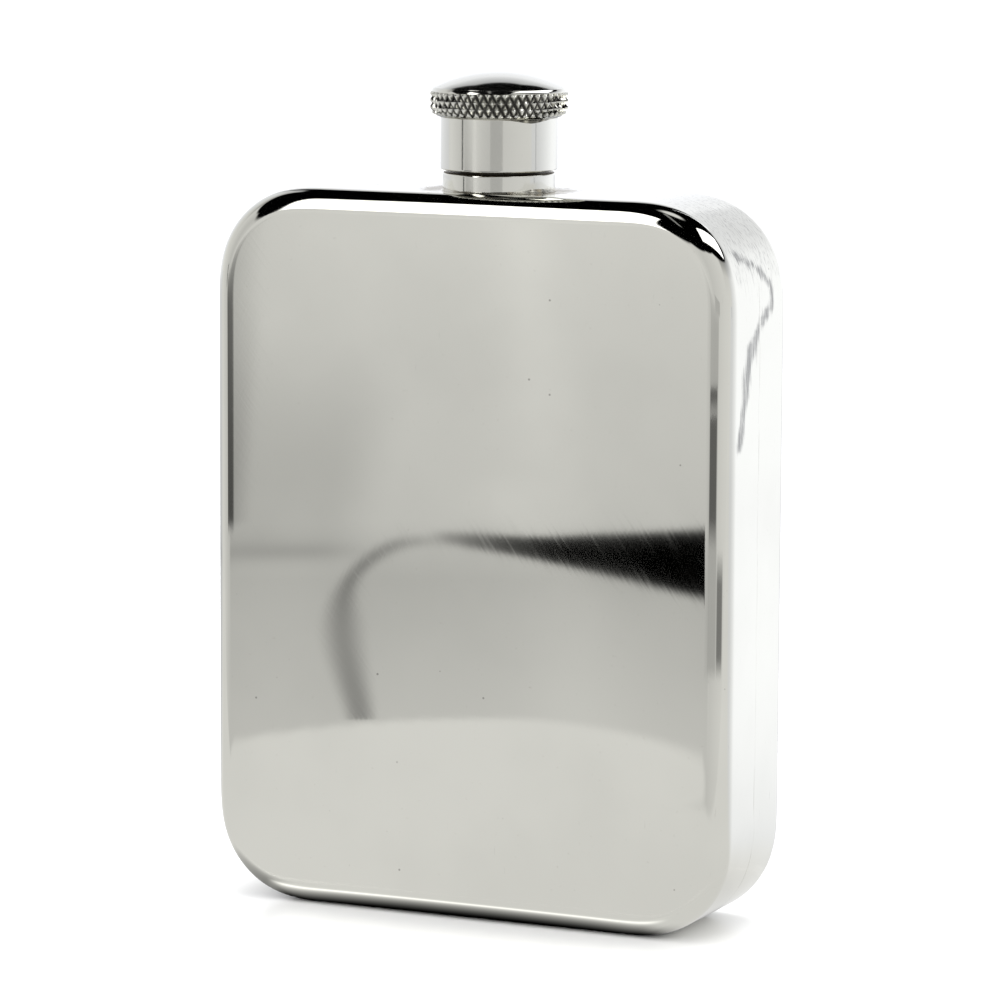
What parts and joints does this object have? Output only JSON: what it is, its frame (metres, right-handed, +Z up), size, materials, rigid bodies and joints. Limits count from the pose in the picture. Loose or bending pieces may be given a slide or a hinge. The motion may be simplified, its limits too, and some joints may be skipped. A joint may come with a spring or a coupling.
{
  "type": "hip flask",
  "caption": "Slim rectangular pocket flask with rounded corners, a soldered round neck and a knurled domed screw cap.",
  "frame": {"origin": "middle of the base, on the surface the flask stands on", "axes": "+Z up through the neck, +X to the right along the width, -Y out of the front face"},
  "size_m": [0.09, 0.025, 0.1353],
  "materials": {
    "pewter_body": "polished",
    "pewter_cap": "polished",
    "solder": "satin",
    "plated_brass": "satin",
    "seal": "matte"
  },
  "bodies": {
    "flask_body": {"front_shell": "pewter_body", "back_shell": "pewter_body", "seam_solder": "solder", "neck_collar": "pewter_cap", "neck_solder": "solder", "threaded_spout": "plated_brass"},
    "seal": {"seal": "seal"},
    "cap": {"cap_head": "pewter_cap", "cap_skirt": "pewter_cap", "cap_solder": "solder", "thread_insert": "plated_brass"}
  },
  "joints": [
    {"name": "cap_lift", "type": "slide", "parent": "flask_body", "child": "seal", "axis": [0, 0, 1], "range_m": [0, 0.012]},
    {"name": "cap_turn", "type": "hinge", "parent": "seal", "child": "cap", "pos_m": [0, 0, 0.1199], "axis": [0, 0, 1], "range_deg": [0, 2160]}
  ],
  "couplings": [
    {"joint": "cap_lift", "follows": "cap_turn", "m_per_rad": 0.00031831}
  ]
}
